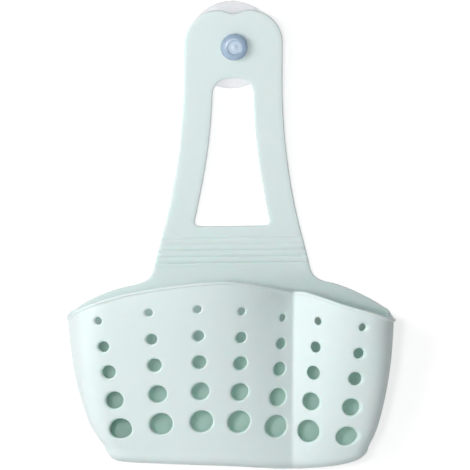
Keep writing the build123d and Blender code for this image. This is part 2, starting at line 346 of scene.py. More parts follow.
def plan_outline(level, inset, back, back_corner, place):
    """A point (x, depth) of the basket's plan at one level; place runs from 0 to 9."""
    stretch = min(STRETCHES - 1, max(0, int(place)))
    share = place - stretch
    side = -1 if stretch < CREASE_STRETCH else 1
    half = half_width(side, level) - inset
    depth = mix(RIM_DEPTH, BASE_DEPTH, level) - inset
    valley = mix(CREASE_DEPTH, CREASE_BASE_DEPTH, level) - inset * CREASE_INSET_SHARE
    bulge = depth - valley
    lean = END_LEAN_SHARE * (1 - level) * depth
    corner = CORNER_SHARE * depth
    front = SHOULDER_DEPTH_SHARE * depth
    end_x = half - lean * (front - corner) / front
    front_depth = front + FRONT_RISE_SHARE * corner
    left_front, right_front = (half_width(s, level) - inset - lean - corner for s in (-1, 1))
    left_run = CREASE_PLACE + left_front
    right_run = right_front - CREASE_PLACE
    left_handle = LEFT_HANDLE_SHARE * left_run
    right_handle = RIGHT_HANDLE_SHARE * right_run
    cut = back_corner / math.hypot(half - end_x, front - corner - back)
    side_start = (mix(half, end_x, cut), mix(back, front - corner, cut))
    side_end = (end_x, front - corner)
    front_start = (half - lean - corner, front_depth)
    ends = (
        ((half - back_corner, back), (half, back), side_start),
        (side_start, side_end),
        (side_end, (half - lean, front), front_start),
    )
    mirrored, end_share = (stretch, share) if side < 0 else (STRETCHES - 1 - stretch, 1 - share)
    if mirrored < len(ends):
        x, y = bezier(ends[mirrored], end_share)
        return side * x, y
    left = (
        (-left_front, front_depth),
        (-left_front + left_handle, front_depth + FRONT_RISE_SHARE * left_handle),
        (CREASE_PLACE - LEFT_VALLEY_SHARES[0] * left_run, valley + LEFT_VALLEY_SHARES[1] * bulge),
        (CREASE_PLACE, valley),
    )
    right = (
        (CREASE_PLACE, valley),
        (CREASE_PLACE + RIGHT_VALLEY_SHARES[0] * right_run, valley + RIGHT_VALLEY_SHARES[1] * bulge),
        (right_front - right_handle, front_depth + FRONT_RISE_SHARE * right_handle),
        (right_front, front_depth),
    )
    left_cut = CREASE_ROUNDING / (3 * math.dist(left[2], left[3]))
    right_cut = CREASE_ROUNDING / (3 * math.dist(right[0], right[1]))
    if stretch == CREASE_STRETCH - 1:
        return bezier(left, share * (1 - left_cut))
    if stretch == CREASE_STRETCH + 1:
        return bezier(right, right_cut + share * (1 - right_cut))
    return bezier((bezier(left, 1 - left_cut), left[3], bezier(right, right_cut)), share)


def level_at(height):
    """Level share, and turn round the bottom edge, at a height of the flattened wall."""
    if height >= ROUNDING_LEVEL:
        return (WALL_TOP - height) / SIDE_HEIGHT, 0.0
    return 1.0, min(math.pi / 2, (ROUNDING_LEVEL - height) / BASE_ROUNDING)


def skin_values(height, skin):
    """Level share, inset, back depth and real height of one skin at a height of the flat wall."""
    level, turn = level_at(height)
    rounding = BASE_ROUNDING - FLOOR_THICKNESS * skin
    drawn_in = rounding * (1 - math.cos(turn))
    real = height if turn == 0.0 else ROUNDING_LEVEL - rounding * math.sin(turn)
    return level, WALL * skin + drawn_in, BACK_WALL * skin + drawn_in * BACK_ROUNDING_SHARE, real


def shell_point(place, height, skin):
    """A point of the curved front and end wall."""
    level, inset, back, real = skin_values(height, skin)
    x, depth = plan_outline(level, inset, back, BACK_CORNER - WALL * skin, place)
    return Vector((x, -(WALL_GAP + depth), real))


def make_place_table():
    """Runs along the outline at one level, which flatten the wall without much stretch."""
    lengths, places = [0.0], [0.0]
    last = plan_outline(FLAT_LEVEL_SHARE, 0.0, 0.0, BACK_CORNER, 0.0)
    for i in range(1, STRETCHES * STRETCH_SAMPLES + 1):
        place = i / STRETCH_SAMPLES
        point = plan_outline(FLAT_LEVEL_SHARE, 0.0, 0.0, BACK_CORNER, place - SMALL_SHARE)
        lengths.append(lengths[-1] + math.dist(point, last))
        places.append(place)
        last = point
    return lengths, places


LENGTHS, PLACES = make_place_table()


def table_value(table, values, wanted):
    """The value that goes with a place in a table, on a straight line between its rows."""
    k = min(len(table) - 2, max(0, bisect.bisect_right(table, wanted) - 1))
    share = (wanted - table[k]) / (table[k + 1] - table[k])
    return mix(values[k], values[k + 1], share)


def place_of(run):
    """The place along the outline that a run reaches."""
    return min(STRETCHES - SMALL_SHARE, max(0.0, table_value(LENGTHS, PLACES, run)))


def run_of(place):
    """The run that reaches a place along the outline."""
    return table_value(PLACES, LENGTHS, place)


CORNER_RUN = run_of(1)
END_RUN = run_of(FRONT_STRETCH)
CREASE_RUN = run_of(CREASE_STRETCH)
CREASE_END = run_of(CREASE_STRETCH + 1)
TOTAL_RUN = run_of(STRETCHES)


def shell_flat(flat, skin):
    """The curved wall's point for a point (run, height) of the flattened wall."""
    return shell_point(place_of(flat[0]), flat[1], skin)


def seam_x(side, height, skin):
    """Place across of the seam between the back plate and the rounded back corner."""
    level, inset, _, _ = skin_values(height, skin)
    return side * (half_width(side, level) - inset - (BACK_CORNER - WALL * skin))


def groove_profile(height):
    """Depth below the ribs at a height of the band."""
    depth = 0.0
    for k in range(GROOVE_COUNT):
        centre = BAND_TOP - GROOVE_FIRST_DROP - k * GROOVE_PITCH
        away = abs(height - centre) / (GROOVE_WIDTH / 2)
        if away < 1:
            share = FAINT_SHARE if k == FAINT_GROOVE else 1.0
            depth += GROOVE_DEPTH * share * (0.5 + 0.5 * math.cos(math.pi * away)) ** GROOVE_SHARPNESS
    return depth


def back_flat(flat, skin):
    """The back plate's, band's or strap's point for a point (x, height)."""
    x, height = flat
    above = height - BAND_TOP
    slope = (STRAP_STANDOFF - WALL_GAP) / -BAND_TOP
    if above > STRAP_EASE:
        lift = slope * above
    elif above > -STRAP_EASE:
        lift = slope * (above + STRAP_EASE) ** 2 / (4 * STRAP_EASE)
    else:
        lift = 0.0
    if height > WALL_TOP:
        thickness = BACK_WALL
        in_band = smooth((BAND_TOP - height) / BAND_EASE) * smooth((height - WALL_TOP) / BAND_EASE)
        thickness += RIB_PROUD * in_band - groove_profile(height)
        return Vector((x, -(WALL_GAP + lift + thickness * skin), height))
    _, _, back, real = skin_values(height, skin)
    side = -1 if x < 0 else 1
    stretch = seam_x(side, height, skin) / seam_x(side, height, OUTER)
    return Vector((x * stretch, -(WALL_GAP + lift + back), real))


def shoulder_points(side, count):
    """One flared upper edge of the back plate, from the band's foot out to the rim's tip."""
    tip_drop = LEFT_TIP_DROP if side < 0 else RIGHT_TIP_DROP
    tip_shares = LEFT_TIP_SHARES if side < 0 else RIGHT_TIP_SHARES
    foot = BAND_FOOT_WIDTH / 2
    knee = foot + SHOULDER_REACH
    tip_run = HALF_WIDTH - knee
    tip_fall = tip_drop - SHOULDER_DROP
    knee_level = WALL_TOP - SHOULDER_DROP
    first = (
        (foot, WALL_TOP),
        *[(foot + run * SHOULDER_REACH, WALL_TOP - fall * SHOULDER_DROP) for run, fall in KNEE_SHARES],
        (knee, knee_level),
    )
    second = (
        (knee, knee_level),
        *[(knee + run * tip_run, knee_level - fall * tip_fall) for run, fall in tip_shares],
        (HALF_WIDTH, WALL_TOP - tip_drop),
    )
    points = [*curve_points(first, count), *curve_points(second, 2 * count), second[-1]]
    return [(side * x, z) for x, z in points]


def strap_side_points(side, rows):
    """The strap's edge from the middle of its top down to the band."""
    half_top = STRAP_TOP_WIDTH / 2
    half_foot = STRAP_FOOT_WIDTH / 2
    top_flat = half_top - STRAP_CORNER
    flare = half_foot - half_top
    flare_run = -BAND_TOP - STRAP_STRAIGHT
    dip = ((0, STRAP_TOP - STRAP_DIP), (top_flat / 2, STRAP_TOP - STRAP_DIP),
           (top_flat / 2, STRAP_TOP), (top_flat, STRAP_TOP))
    corner = ((top_flat, STRAP_TOP), (top_flat + STRAP_CORNER_SHARE * STRAP_CORNER, STRAP_TOP),
              (half_top, STRAP_TOP - (1 - STRAP_CORNER_SHARE) * STRAP_CORNER),
              (half_top, STRAP_TOP - STRAP_CORNER))
    straight = ((half_top, STRAP_TOP - STRAP_CORNER), (half_top, -STRAP_STRAIGHT))
    flared = (
        (half_top, -STRAP_STRAIGHT),
        *[(half_top + out * flare, -STRAP_STRAIGHT - down * flare_run) for out, down in STRAP_SIDE_SHARES],
        (half_foot, BAND_TOP),
    )
    points = []
    for curve, count in zip((dip, corner, straight, flared), STRAP_STEPS):
        points += curve_points(curve, count)
    points += [(mix(half_foot, BAND_FOOT_WIDTH / 2, (BAND_TOP - row) / (BAND_TOP - WALL_TOP)), row)
               for row in rows]
    return [(side * x, z) for x, z in points]


def window_points():
    """The window's outline, from right of its foot's middle, up and over to the middle."""
    window_top = -WINDOW_TOP_DROP
    foot = BAND_TOP + WINDOW_FOOT_GAP
    arch_half = WINDOW_TOP_WIDTH / 2
    foot_half = WINDOW_FOOT_WIDTH / 2
    arch_foot = window_top - WINDOW_ARCH
    side_run = arch_foot - foot
    arch = ((0, window_top), (WINDOW_ARCH_SHARES[0] * arch_half, window_top),
            (arch_half, window_top - WINDOW_ARCH_SHARES[1] * WINDOW_ARCH), (arch_half, arch_foot))
    side = (
        (arch_half, arch_foot),
        *[(mix(arch_half, foot_half, out), arch_foot - down * side_run) for out, down in WINDOW_SIDE_SHARES],
        (foot_half, foot + WINDOW_CORNER),
    )
    corner = ((foot_half, foot + WINDOW_CORNER), (foot_half + WINDOW_CORNER_SHARE * WINDOW_CORNER, foot),
              (foot_half - WINDOW_CORNER, foot))
    bottom = ((foot_half - WINDOW_CORNER, foot), (0, foot))
    right = []
    for curve, count in zip((arch, side, corner, bottom), WINDOW_STEPS):
        right += curve_points(curve, count)
    left = [(-x, z) for x, z in reversed(right[1:])]
    return [*left, *right][::-1] + [(0, foot)]


def band_rows():
    """Heights across the band, close together where the grooves are."""
    rows = []
    for k in range(GROOVE_COUNT):
        centre = BAND_TOP - GROOVE_FIRST_DROP - k * GROOVE_PITCH
        for i in range(-GROOVE_STEPS, GROOVE_STEPS + 1):
            rows.append(centre - i * GROOVE_WIDTH / (2 * GROOVE_STEPS))
        rows.append(centre - GROOVE_PITCH / 2)
    rows = [row for row in rows if WALL_TOP + BAND_END_GAP < row < BAND_TOP - BAND_END_GAP]
    return sorted([BAND_TOP, *rows], reverse=True)


def moved_in(points, closed, reach):
    """Outline points moved square to it, to the right of its direction, by one reach or by many."""
    moved = []
    count = len(points)
    for i, point in enumerate(points):
        before = points[i - 1] if closed or i > 0 else point
        after = points[(i + 1) % count] if closed or i < count - 1 else point
        dx, dz = after[0] - before[0], after[1] - before[1]
        length = math.hypot(dx, dz)
        amount = reach[i] if isinstance(reach, list) else reach
        moved.append((point[0] + dz / length * amount, point[1] - dx / length * amount))
    return moved


def shade_share(height):
    """How much painted inside shade a height takes: 0 at the band and 1 deep inside the basket."""
    return smooth((WALL_TOP - SHADE_DROP - height) / SHADE_RUN)


class Skin:
    """Both skins of the moulding and its rolled edges, gathered as points and faces, with each point's share
    of painted inside shade.
    """

    def __init__(self):
        self.points = []
        self.faces = []
        # Each point's share of the painted inside shade
        self.painted_shades = []
        self.known = {}

    def point(self, place, depth):
        """The number of the point at a place, which is added if it is new, with its share of painted inside
        shade.
        """
        key = tuple(round(c * POINT_KEYS_PER_MM) for c in place)
        if key not in self.known:
            self.known[key] = len(self.points)
            self.points.append(place)
            self.painted_shades.append(depth)
        return self.known[key]

    def face(self, corners, flip):
        """Adds a face through numbered corners, without repeats."""
        corners = list(dict.fromkeys(corners))
        if len(corners) > 2:
            self.faces.append(tuple(reversed(corners)) if flip else tuple(corners))

    def sheet(self, flats, triangles, surface, flip):
        """Adds a flat triangulation as the outer and the inner skin."""
        for skin in (OUTER, INNER):
            places = [surface(flat, skin) for flat in flats]
            # The inner skin takes the painted inside shade by its height
            ids = [self.point(place, skin * shade_share(place.z)) for place in places]
            for triangle in triangles:
                self.face([ids[i] for i in triangle], flip != (skin == INNER))

    def roll(self, starts, edges, surface, closed, flip, profile, depth=0.0):
        """Adds the rounded edge between the skins along a boundary; its middle points take this depth share
        of the painted inside shade.
        """
        rings = []
        for i, (start, edge) in enumerate(zip(starts, edges)):
            outer, inner = surface(start, OUTER), surface(start, INNER)
            reach = surface(edge, OUTER) - outer
            through_wall = inner - outer
            thickness = through_wall.length
            column = [outer]
            for share, down in profile(i, thickness):
                column.append(outer + reach * share + through_wall * (down / thickness))
            column.append(inner)
            # The inner end takes the painted inside shade by its height, the middle points the given share
            # of it
            last = shade_share(inner.z)
            painted_shades = [0.0] + [depth * last] * (len(column) - 2) + [last]
            rings.append([self.point(p, d) for p, d in zip(column, painted_shades)])
        pairs = list(zip(rings, rings[1:]))
        if closed:
            pairs.append((rings[-1], rings[0]))
        for first, second in pairs:
            for k in range(len(first) - 1):
                self.face([first[k], first[k + 1], second[k + 1], second[k]], flip)


def plain_profile(radius):
    """A rounded edge with one radius on both sides."""
    def profile(_, thickness):
        r = min(radius, thickness * MOST_EDGE_SHARE)
        down = [(math.sin(a), r * (1 - math.cos(a))) for a in (math.pi / 6, math.pi / 3, math.pi / 2)]
        return down + [(share, thickness - low) for share, low in reversed(down)]
    return profile


def fill(loop, holes, inside):
    """Triangles between a closed outline, its holes and the given inside points."""
    coords, edges = [], []
    for outline in [loop, *holes]:
        start = len(coords)
        coords += outline
        edges += [(start + i, start + (i + 1) % len(outline)) for i in range(len(outline))]
    coords += inside
    made = delaunay_2d_cdt([Vector(c) for c in coords], edges, [], 0, 1e-6)
    triangles, sources = made[2], made[3]
    flats = [Vector(coords[source[0]]) if source else place for place, source in zip(made[0], sources)]
    kept = []
    for triangle in triangles:
        cx = sum(flats[i].x for i in triangle) / 3
        cz = sum(flats[i].y for i in triangle) / 3
        if within((cx, cz), loop) and not any(within((cx, cz), hole) for hole in holes):
            a, b, c = (flats[i] for i in triangle)
            turn = (b - a).cross(c - a)
            kept.append(tuple(triangle) if turn > 0 else tuple(reversed(triangle)))
    return [(p.x, p.y) for p in flats], kept


def within(point, loop):
    """True if a point lies inside a closed outline."""
    x, z = point
    found = False
    for (ax, az), (bx, bz) in zip(loop, loop[1:] + loop[:1]):
        if (az > z) != (bz > z) and x < (bx - ax) * (z - az) / (bz - az) + ax:
            found = not found
    return found


def away_open(point, line, gap):
    """True if a point is at least a gap away from an open line."""
    px, pz = point
    for (ax, az), (bx, bz) in zip(line, line[1:]):
        dx, dz = bx - ax, bz - az
        share = ((px - ax) * dx + (pz - az) * dz) / max(1e-12, dx * dx + dz * dz)
        share = min(1.0, max(0.0, share))
        if (px - ax - share * dx) ** 2 + (pz - az - share * dz) ** 2 < gap * gap:
            return False
    return True


def away_from(point, loops, gap):
    """True if a point is at least a gap away from every closed outline."""
    return all(away_open(point, loop + loop[:1], gap) for loop in loops)


def away_rings(point, rings, gap):
    """True if a point lies outside every closed outline and at least a gap away from it."""
    return away_from(point, rings, gap) and not any(within(point, r) for r in rings)


def circle(centre, radius, count):
    """A circle's points in a flat sheet."""
    turns = [2 * math.pi * i / count for i in range(count)]
    return [(centre[0] + radius * math.cos(turn), centre[1] + radius * math.sin(turn)) for turn in turns]


def evenly(start, end, step):
    """Values from start to end in equal steps near the wanted step, ends included."""
    count = max(1, round(abs(end - start) / step))
    return [mix(start, end, i / count) for i in range(count + 1)]


def ring(centre, radius, surface, count):
    """A circle round a centre on the surface, as points of the flattened wall."""
    middle = surface(centre, OUTER)
    nudge = 0.5
    across = (surface((centre[0] + nudge, centre[1]), OUTER) - middle) / nudge
    up = (surface((centre[0], centre[1] + nudge), OUTER) - middle) / nudge
    normal = across.cross(up).normalized()
    first = across.normalized()
    second = normal.cross(first)
    a, b = across.dot(first), up.dot(first)
    c, d = across.dot(second), up.dot(second)
    det = a * d - b * c
    points = []
    for i in range(count):
        turn = 2 * math.pi * i / count
        want = (radius * math.cos(turn), radius * math.sin(turn))
        flat = list(centre)
        for _ in range(RING_ROUNDS):
            here = surface(tuple(flat), OUTER) - middle
            off = (want[0] - here.dot(first), want[1] - here.dot(second))
            flat[0] += (d * off[0] - b * off[1]) / det
            flat[1] += (a * off[1] - c * off[0]) / det
        points.append(tuple(flat))
    return points


def front_hole_centres():
    """Each front hole's place on the flattened wall, with its diameter."""
    for column in range(len(TOP_COLUMN_SHARES)):
        top_x = TOP_COLUMN_SHARES[column] * HALF_WIDTH
        bottom_x = BOTTOM_COLUMN_SHARES[column] * HALF_WIDTH
        basket_height = WALL_TOP - FLOOR_LEVEL
        top_z = WALL_TOP - TOP_ROW_DROP - TOP_SAG_SHARES[column] * basket_height
        bottom_z = WALL_TOP - BOTTOM_ROW_DROP - BOTTOM_SAG_SHARES[column] * basket_height
        for row_share, diameter in zip(ROW_SHARES, HOLE_DIAMETERS):
            x = mix(top_x, bottom_x, row_share)
            wanted = mix(top_z, bottom_z, row_share)
            z = wanted
            for _ in range(LIFT_ROUNDS):
                z = wanted - bottom_lift(x, z)
            low, high = FRONT_STRETCH, STRETCHES - FRONT_STRETCH
            for _ in range(HALVINGS):
                middle = (low + high) / 2
                if shell_point(middle, z, OUTER).x < x:
                    low = middle
                else:
                    high = middle
            yield (run_of(low), z), diameter


def wall_runs():
    """Runs of the curved wall's columns, close together at its back corners and its crease."""
    runs = evenly(0, CORNER_RUN, CORNER_STEP)
    runs += evenly(CORNER_RUN, CREASE_RUN - CREASE_MARGIN, STEP)[1:]
    runs += evenly(CREASE_RUN - CREASE_STEP, CREASE_END + CREASE_STEP, CREASE_STEP)
    runs += evenly(CREASE_END + CREASE_MARGIN, TOTAL_RUN - CORNER_RUN, STEP)
    runs += evenly(TOTAL_RUN - CORNER_RUN, TOTAL_RUN, CORNER_STEP)[1:]
    return runs


def front_rim(run):
    """The rim's height above a run of the front wall, which leans, so the height is sought."""
    place = place_of(run)
    height = WALL_TOP
    for _ in range(RIM_ROUNDS):
        height = mix(height, rim_height(shell_point(place, height, OUTER).x), RIM_ROUND_SHARE)
    return height


def end_rim(run, edge, tip, front):
    """The rim's height on an end wall: down round the back corner, then up to the front."""
    if run < CORNER_RUN:
        return mix(edge, tip, smooth(run / CORNER_RUN))
    share = (run - CORNER_RUN) / (END_RUN - CORNER_RUN)
    return mix(tip, front, share * mix(END_RIM_SHARE, 1.0, share))


def rim_line(runs):
    """The rim as points of the flattened wall."""
    left = (shoulder_height(-1), WALL_TOP - LEFT_TIP_DROP, front_rim(END_RUN))
    right = (shoulder_height(1), WALL_TOP - RIGHT_TIP_DROP, front_rim(TOTAL_RUN - END_RUN))
    rim = []
    for run in runs:
        if run < END_RUN:
            rim.append((run, end_rim(run, *left)))
        elif run > TOTAL_RUN - END_RUN:
            rim.append((run, end_rim(TOTAL_RUN - run, *right)))
        else:
            rim.append((run, front_rim(run)))
    return rim


def bead_share(run):
    """How full the rim bead is: it fades out towards both back corners."""
    left = smooth((run - BEAD_START) / BEAD_RUN)
    return left * smooth((TOTAL_RUN - run - BEAD_START) / BEAD_RUN)


def add_front(skin):
    """The curved front and end wall, with its rim bead and holes."""
    runs = wall_runs()
    levels = seam_levels()
    foot = levels[-1]
    rim = rim_line(runs)
    rim[0] = (0.0, rim[0][1])
    rim[-1] = (TOTAL_RUN, rim[-1][1])
    reach = [mix(EDGE, BEAD_HEIGHT, bead_share(run)) for run in runs]
    inset = moved_in(rim, False, reach)
    inset[0] = (0.0, rim[0][1] - EDGE)
    inset[-1] = (TOTAL_RUN, rim[-1][1] - EDGE)
    below_bead = moved_in(rim, False, [height + BEAD_SUPPORT for height in reach])[2:-2]
    left = [(0.0, z) for z in levels if z < inset[0][1] - SEAM_GAP]
    right = [(TOTAL_RUN, z) for z in levels if z < inset[-1][1] - SEAM_GAP]
    bottom = [(run, foot) for run in runs[1:-1]]
    loop = inset[::-1] + left + bottom + right[::-1]
    rings, edges, collars = [], [], []
    for centre, diameter in front_hole_centres():
        radius = diameter / 2
        count = max(LEAST_HOLE_SIDES, int(diameter * HOLE_SIDES_PER_MM))
        collar_count = max(LEAST_COLLAR_SIDES, int(diameter * COLLAR_SIDES_PER_MM))
        rings.append(ring(centre, radius + HOLE_EDGE, shell_flat, count))
        edges.append(ring(centre, radius, shell_flat, count))
        collars += ring(centre, radius + HOLE_EDGE + COLLAR, shell_flat, collar_count)
    inside = [(run, z) for run in runs[1:-1] for z in levels[:-1] if within((run, z), loop)]
    inside = [p for p in inside if away_open(p, inset, FRONT_EDGE_GAP)
              and away_from(p, rings, FRONT_HOLE_GAP)]
    collars = [p for p in collars if away_open(p, inset, COLLAR_EDGE_GAP)
               and away_rings(p, rings, COLLAR_HOLE_GAP)
               and not CREASE_RUN - COLLAR_HOLE_GAP < p[0] < CREASE_END + COLLAR_HOLE_GAP]
    flats, triangles = fill(loop, rings, inside + collars + below_bead)
    skin.sheet(flats, triangles, shell_flat, False)

    def bead_profile(i, thickness):
        """The rolled edge at one column, between a plain rounding and the full bead."""
        share = bead_share(runs[i])
        bead = [(along, -out * BEAD_OVERHANG) for along, out in BEAD_OUTSIDE_SHARES]
        bead += [(along, down * thickness) for along, down in BEAD_THROUGH_SHARES]
        plain = plain_profile(EDGE)(i, thickness)
        return [(mix(a[0], b[0], share), mix(a[1], b[1], share)) for a, b in zip(plain, bead)]

    skin.roll(inset, rim, shell_flat, False, False, bead_profile, depth=BEAD_SHADE)
    for start, edge in zip(rings, edges):
        skin.roll(start, edge, shell_flat, True, True, plain_profile(HOLE_EDGE), depth=HOLE_SHADE)


def seam_levels():
    """Heights of the rows that the curved wall and the back plate share, from the top down."""
    rows = evenly(WALL_TOP - RIM_ROWS_DROP, ROUNDING_LEVEL, STEP)
    quarter = BASE_ROUNDING * math.pi / 2
    return rows + [ROUNDING_LEVEL - quarter * i / FOOT_STEPS for i in range(1, FOOT_STEPS + 1)]


def seam_foot():
    """The back plate's foot between both seams, from right to left, without its ends."""
    foot = seam_levels()[-1]
    columns = evenly(seam_x(1, foot, OUTER), seam_x(-1, foot, OUTER), STEP)
    return [(x, foot) for x in columns[1:-1]]


def shoulder_height(side):
    """Height of the shoulder's edge where the back plate meets the rounded back corner."""
    tip_drop = LEFT_TIP_DROP if side < 0 else RIGHT_TIP_DROP
    points = [(abs(x), z) for x, z in shoulder_points(side, FINE_SHOULDER_STEPS)]
    height = WALL_TOP - tip_drop
    for _ in range(SHOULDER_ROUNDS):
        wanted = abs(seam_x(side, height, OUTER))
        for first, second in zip(points, points[1:]):
            if first[0] <= wanted <= second[0]:
                height = mix(first[1], second[1], (wanted - first[0]) / (second[0] - first[0]))
    return height


def back_edge(rows):
    """The edge of the shoulders, the band and the strap, from the left tip to the right one."""
    sides = []
    for side in (-1, 1):
        tip = shoulder_height(side)
        seam = abs(seam_x(side, tip, OUTER))
        shoulder = shoulder_points(side, SHOULDER_STEPS)
        shoulder = [p for p in shoulder if abs(p[0]) < seam - SHOULDER_GAP]
        sides.append(strap_side_points(side, rows) + shoulder + [(side * seam, tip)])
    left, right = sides
    return left[::-1] + right[1:]


def add_back(skin):
    """The back plate, the ribbed band and the strap, as one sheet."""
    rows = band_rows()
    levels = seam_levels()
    edge = back_edge(rows)
    inset = moved_in(edge, False, EDGE)
    seams = []
    for side, end in ((-1, 0), (1, -1)):
        height = edge[end][1] - EDGE
        inset[end] = (seam_x(side, height, OUTER), height)
        seams.append([(seam_x(side, z, OUTER), z) for z in levels if z < height - SEAM_GAP])
    loop = (inset + seams[1] + seam_foot() + seams[0][::-1])[::-1]
    window = window_points()
    window_start = moved_out(window, EDGE)
    neck = circle((0.0, 0.0), NECK_HOLE_RADIUS, NECK_SIDES)
    neck_start = circle((0.0, 0.0), NECK_HOLE_RADIUS + EDGE, NECK_SIDES)
    band_limit = BAND_TOP + BAND_MARGIN
    heights = [*evenly(STRAP_TOP, BAND_TOP + STEP, STEP), BAND_TOP + STEP / 2, band_limit, *rows]
    heights += evenly(WALL_TOP, WALL_TOP - RIM_ROWS_DROP, RIM_ROWS_STEP)[:-1] + levels[:-1]
    columns = evenly(-HALF_WIDTH, HALF_WIDTH, STEP)
    inside = [(x, z) for z in heights for x in columns if within((x, z), loop)]
    in_band = [p for p in inside if WALL_TOP < p[1] <= band_limit and away_from(p, [loop], BAND_GAP)]
    others = [p for p in inside if not WALL_TOP < p[1] <= band_limit
              and away_from(p, [loop, window_start, neck_start], BACK_GAP)]
    flats, triangles = fill(loop, [window_start, neck_start], in_band + others)
    skin.sheet(flats, triangles, back_flat, True)
    skin.roll(inset, edge, back_flat, False, True, plain_profile(EDGE))
    skin.roll(window_start, window, back_flat, True, False, plain_profile(EDGE))
    skin.roll(neck_start, neck, back_flat, True, False, plain_profile(EDGE))


def signed_area(points):
    """A closed outline's area, which is positive if it runs anticlockwise."""
    return sum(a[0] * b[1] - b[0] * a[1] for a, b in zip(points, points[1:] + points[:1])) / 2


def moved_out(points, reach):
    """A closed outline's points moved away from its inside."""
    turned = points if signed_area(points) > 0 else points[::-1]
    moved = moved_in(turned, True, reach)
    return moved if turned is points else moved[::-1]


def add_floor(skin):
    """The flat floor between the rounded bottom edges, with its drain holes."""
    foot = seam_levels()[-1]
    front = [(run, foot) for run in wall_runs()]
    outer, inner = (
        [shell_flat(p, side) for p in front] + [back_flat(p, side) for p in seam_foot()]
        for side in (OUTER, INNER)
    )
    loop = [(p.x, p.y) for p in outer]
    inner_loop = [(p.x, p.y) for p in inner]

    def key(x, y):
        """A place on the floor's plan, rounded so that it can be looked up."""
        return round(x, POINT_KEY_DIGITS), round(y, POINT_KEY_DIGITS)

    pairs = {key(o.x, o.y): i for o, i in zip(outer, inner)}
    middle_y = -(WALL_GAP + (BACK_WALL + CREASE_BASE_DEPTH - BASE_ROUNDING) / 2)
    starts, edges = [], []
    for k in range(DRAIN_COUNT):
        centre = ((k - (DRAIN_COUNT - 1) / 2) * DRAIN_PITCH, middle_y)
        starts.append(circle(centre, DRAIN_DIAMETER / 2 + DRAIN_EDGE, DRAIN_SIDES))
        edges.append(circle(centre, DRAIN_DIAMETER / 2, DRAIN_SIDES))

    def floor_flat(flat, side):
        """The floor's point; its inner edge is the foot of the walls' inner skin."""
        if side == OUTER:
            return Vector((flat[0], flat[1], FLOOR_LEVEL))
        top = Vector((flat[0], flat[1], FLOOR_LEVEL + FLOOR_THICKNESS))
        return pairs.get(key(*flat), top)

    inside = []
    for x in evenly(min(p[0] for p in loop), max(p[0] for p in loop), STEP):
        for y in evenly(-WALL_GAP, -BASE_DEPTH, FLOOR_STEP):
            in_both = within((x, y), loop) and within((x, y), inner_loop)
            if in_both and away_rings((x, y), starts, DRAIN_GAP):
                if away_from((x, y), [loop, inner_loop], FLOOR_GAP):
                    inside.append((x, y))
    flats, triangles = fill(loop, starts, inside)
    skin.sheet(flats, triangles, floor_flat, True)
    for start, edge in zip(starts, edges):
        skin.roll(start, edge, floor_flat, True, False, plain_profile(DRAIN_EDGE), depth=HOLE_SHADE)


# Points nearer to each other than this become one
WELD = 0.004


def mesh_object(name, points, faces, values_by_name=None):
    """A smooth mesh object from points in millimetres, welded, with its normals outward."""
    mesh = bpy.data.meshes.new(name)
    mesh.from_pydata([tuple(p * MM) for p in points], [], faces)
    for key, values in (values_by_name or {}).items():
        mesh.attributes.new(key, "FLOAT", "POINT").data.foreach_set("value", values)
    welded = bmesh.new()
    welded.from_mesh(mesh)
    bmesh.ops.remove_doubles(welded, verts=welded.verts, dist=WELD * MM)
    loose = [vert for vert in welded.verts if not vert.link_faces]
    bmesh.ops.delete(welded, geom=loose, context="VERTS")
    bmesh.ops.recalc_face_normals(welded, faces=welded.faces)
    for face in welded.faces:
        face.smooth = True
    welded.to_mesh(mesh)
    welded.free()
    obj = bpy.data.objects.new(name, mesh)
    bpy.context.scene.collection.objects.link(obj)
    return obj


def make_caddy():
    """The whole soft moulding as one closed skin."""
    skin = Skin()
    add_front(skin)
    add_back(skin)
    add_floor(skin)
    raised = [p + Vector((0.0, 0.0, bottom_lift(p.x, p.z))) for p in skin.points]
    # The depth attribute carries each point's share of painted inside shade
    return mesh_object("soft_caddy", raised, skin.faces, {"depth": skin.painted_shades})


# Suction cup, turned round the neck's axis. Each profile point is (distance from the wall, radius),
# in shares of the sizes below. A count of 0 keeps a row's points as they are.
CUP_RADIUS = 22.7
CUP_DEPTH = 7.3
CUP_FACE_WIDTH = 2.4
CUP_EDGE = 0.9
CUP_LIP = 0.4
CUP_CROWN = 4.6
SHOULDER_RADIUS = 6.4
NECK_RADIUS = 4.0
NECK_FILLET = 0.8
KNOB_RADIUS = 6.9
KNOB_BACK = 11.2
KNOB_THICKNESS = 4.2
KNOB_ROUNDING = 0.9
KNOB_FILLET = 0.5
KNOB_RING_DEPTH = 0.4
CUP_SIDES = 128


